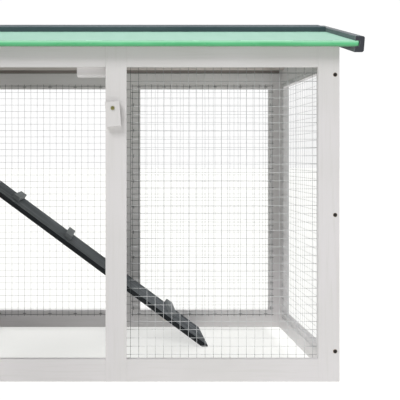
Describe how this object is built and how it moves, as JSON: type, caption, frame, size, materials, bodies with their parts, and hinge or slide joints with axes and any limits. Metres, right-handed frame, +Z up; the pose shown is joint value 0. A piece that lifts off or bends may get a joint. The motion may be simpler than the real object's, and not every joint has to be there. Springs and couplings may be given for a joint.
{
  "type": "rabbit hutch",
  "caption": "White timber rabbit hutch: a raised sleeping house and a wire mesh run joined by a cleated ramp under one green sheet gable roof with slate-grey trims.",
  "frame": {"origin": "middle of the underside of the front sill, on the ground", "axes": "+Z up, -Y out of the front where the doors are, +X along the hutch towards the run end"},
  "size_m": [1.496, 0.9146, 0.8601],
  "materials": {
    "white_paint": "white water-based paint on planed softwood, satin",
    "slate_paint": "slate-grey paint on planed softwood, satin",
    "roof_sheet": "translucent green hollow-core sheet",
    "wire_mesh": "galvanised welded wire",
    "zinc_steel": "zinc plated pressed steel",
    "yellow_zinc": "yellow zinc plated screws",
    "tray_steel": "galvanised sheet"
  },
  "bodies": {
    "hutch": {"front_left_post": "white_paint", "front_house_post": "white_paint", "front_centre_post": "white_paint", "front_right_post": "white_paint", "front_top_rails": "white_paint", "front_sills": "white_paint", "front_mid_rail": "white_paint", "back_right_post": "white_paint", "back_centre_posts": "white_paint", "back_house_posts": "white_paint", "back_top_rails": "white_paint", "back_sills": "white_paint", "back_mid_rail": "white_paint", "right_stiles": "white_paint", "right_rails": "white_paint", "right_gable": "white_paint", "left_stiles": "white_paint", "left_rails": "white_paint", "left_gable": "white_paint", "left_wall": "white_paint", "back_wall": "white_paint", "partition": "white_paint", "house_floor": "white_paint", "floor_bearers": "white_paint", "ridge_beam": "white_paint", "eave_battens": "white_paint", "stop_block": "white_paint", "ridge_boards": "slate_paint", "trim_right_front": "slate_paint", "back_slope_trims": "slate_paint", "ridge_end_stub": "slate_paint", "roof_sheet_back": "roof_sheet", "roof_sheet_front": "roof_sheet", "front_run_mesh": "wire_mesh", "back_right_mesh": "wire_mesh", "back_left_mesh": "wire_mesh", "right_mesh": "wire_mesh", "low_meshes": "wire_mesh", "fixed_hinge_leaves": "zinc_steel", "hinge_pins": "zinc_steel", "frame_screws": "yellow_zinc", "button_screws": "yellow_zinc"},
    "run_door": {"run_door_stiles": "white_paint", "run_door_rails": "white_paint", "run_door_mesh": "wire_mesh", "run_door_hinges": "zinc_steel"},
    "run_latch": {"run_button": "white_paint"},
    "house_door": {"house_door_boards": "white_paint", "house_door_ledges": "white_paint", "house_door_hinges": "zinc_steel"},
    "house_latch": {"house_button": "white_paint"},
    "tray": {"tray_pan": "tray_steel", "tray_front": "white_paint", "tray_pull": "slate_paint"},
    "lid": {"lid_sheet": "roof_sheet", "lid_timber": "slate_paint", "lid_hinges": "zinc_steel"},
    "ramp": {"ramp_board": "slate_paint", "ramp_cleats": "slate_paint", "ramp_hinges": "zinc_steel"}
  },
  "joints": [
    {"name": "run_door_swing", "type": "hinge", "parent": "hutch", "child": "run_door", "pos_m": [-0.15875, -0.0115, 0.3625], "axis": [0, 0, 1], "range_deg": [-5, 90]},
    {"name": "run_latch_turn", "type": "hinge", "parent": "hutch", "child": "run_latch", "pos_m": [0.184, -0.0155, 0.621], "axis": [0, 1, 0], "range_deg": [0, 94]},
    {"name": "house_door_swing", "type": "hinge", "parent": "hutch", "child": "house_door", "pos_m": [-0.65075, -0.0115, 0.6], "axis": [0, 0, -1], "range_deg": [0, 100]},
    {"name": "house_latch_turn", "type": "hinge", "parent": "hutch", "child": "house_latch", "pos_m": [-0.184, -0.0155, 0.621], "axis": [0, 1, 0], "range_deg": [0, 90]},
    {"name": "tray_slide", "type": "slide", "parent": "hutch", "child": "tray", "axis": [0, -1, 0], "range_m": [0, 0.38]},
    {"name": "lid_lift", "type": "hinge", "parent": "hutch", "child": "lid", "pos_m": [0, 0.19405, 0.84506], "axis": [-1, 0, 0], "range_deg": [0, 75]},
    {"name": "ramp_lift", "type": "hinge", "parent": "hutch", "child": "ramp", "pos_m": [-0.157, 0.408, 0.451], "axis": [0, -1, 0], "range_deg": [0, 45]}
  ]
}
